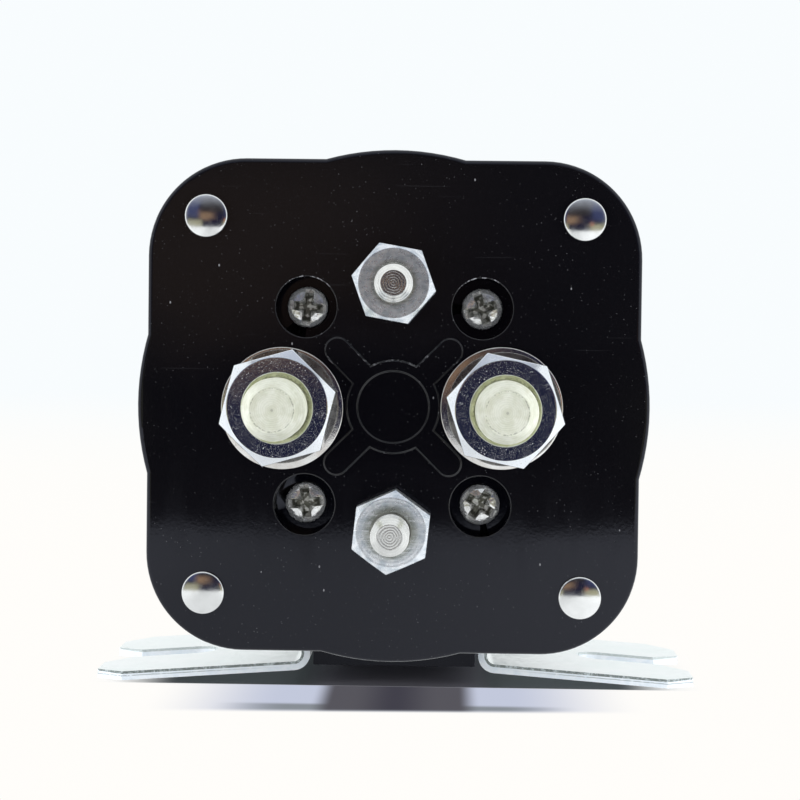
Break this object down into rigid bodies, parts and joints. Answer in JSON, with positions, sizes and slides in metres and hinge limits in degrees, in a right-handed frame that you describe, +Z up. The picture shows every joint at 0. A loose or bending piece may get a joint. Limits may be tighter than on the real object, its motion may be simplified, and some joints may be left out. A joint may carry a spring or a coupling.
{
  "type": "starter relay",
  "caption": "Heavy-duty switching relay: square moulded head with load and coil studs, round coil case, folded bracket with slotted ears, and a sprung plunger that lifts a contact bridge.",
  "frame": {"origin": "midway between the two bracket slots, on the plane that the ears' tips rest on", "axes": "+X right and +Z up seen from the terminals, +Y from the terminal face towards the closed end of the coil case"},
  "size_m": [0.0848, 0.092, 0.0733],
  "materials": {
    "head_phenolic": "polished black phenolic moulding",
    "case_phenolic": "black phenolic moulding, a little less glossy",
    "gasket_fibre": "thin dark fibre sheet",
    "rivet_nickel": "polished nickel plate",
    "screw_nickel": "dull nickel plate",
    "stud_zinc": "zinc plate with a pale yellow-green tint, turned tip",
    "washer_zinc": "bright zinc plate",
    "lock_washer_zinc": "bright zinc plate",
    "nut_zinc": "bright bluish zinc plate",
    "coil_stud_nickel": "nickel plate, turned tip",
    "coil_washer_nickel": "nickel plate",
    "coil_nut_nickel": "satin nickel plate with white chamfers",
    "frame_steel": "plain magnet steel, oiled",
    "core_steel": "turned magnet steel",
    "guide_brass": "drawn brass tube",
    "bobbin_nylon": "natural nylon moulding",
    "winding_copper": "enamelled copper wire in layers",
    "wrap_tape": "yellow polyester tape",
    "lead_copper": "enamelled copper wire",
    "plunger_steel": "turned steel, zinc plated",
    "rod_steel": "drawn steel",
    "clip_steel": "blackened spring steel",
    "bridge_copper": "tumbled copper",
    "bush_plastic": "natural glass-filled nylon",
    "spring_steel": "bright spring wire",
    "bumper_rubber": "moulded rubber",
    "bracket_zinc": "bright zinc plate on cold-rolled sheet",
    "cross_rivet_zinc": "zinc plate"
  },
  "bodies": {
    "housing": {"head": "head_phenolic", "coil_case": "case_phenolic", "gasket": "gasket_fibre", "corner_rivets": "rivet_nickel", "frame_screws": "screw_nickel", "load_stud_left": "stud_zinc", "load_stud_right": "stud_zinc", "load_washer_left": "washer_zinc", "load_washer_right": "washer_zinc", "lock_washer_left": "lock_washer_zinc", "lock_washer_right": "lock_washer_zinc", "load_nut_left": "nut_zinc", "load_nut_right": "nut_zinc", "coil_stud_top": "coil_stud_nickel", "coil_stud_bottom": "coil_stud_nickel", "coil_washer_top": "coil_washer_nickel", "coil_washer_bottom": "coil_washer_nickel", "coil_nut_top": "coil_nut_nickel", "coil_nut_bottom": "coil_nut_nickel", "pole_plate": "frame_steel", "magnet_frame": "frame_steel", "fixed_core": "core_steel", "guide_tube": "guide_brass", "bobbin": "bobbin_nylon", "winding": "winding_copper", "coil_wrap": "wrap_tape", "coil_lead_top": "lead_copper", "coil_lead_bottom": "lead_copper", "bumper_pad": "bumper_rubber", "return_spring": "spring_steel", "bracket_left": "bracket_zinc", "bracket_right": "bracket_zinc", "cross_rivets": "cross_rivet_zinc"},
    "armature": {"plunger": "plunger_steel", "push_rod": "rod_steel", "rod_clip": "clip_steel", "contact_spring": "spring_steel"},
    "contact_carrier": {"contact_bridge": "bridge_copper", "bush_front": "bush_plastic", "bush_rear": "bush_plastic"}
  },
  "joints": [
    {"name": "plunger_slide", "type": "slide", "parent": "housing", "child": "armature", "axis": [0, -1, 0], "range_m": [0, 0.004], "stiffness_N_per_m": 1200, "springref_m": -0.003, "deforming": ["contact_spring"]},
    {"name": "bridge_slide", "type": "slide", "parent": "housing", "child": "contact_carrier", "axis": [0, -1, 0], "range_m": [0, 0.003], "deforming": ["return_spring"]}
  ],
  "couplings": [
    {"joint": "bridge_slide", "follows": "plunger_slide", "ratio": 0.75}
  ]
}
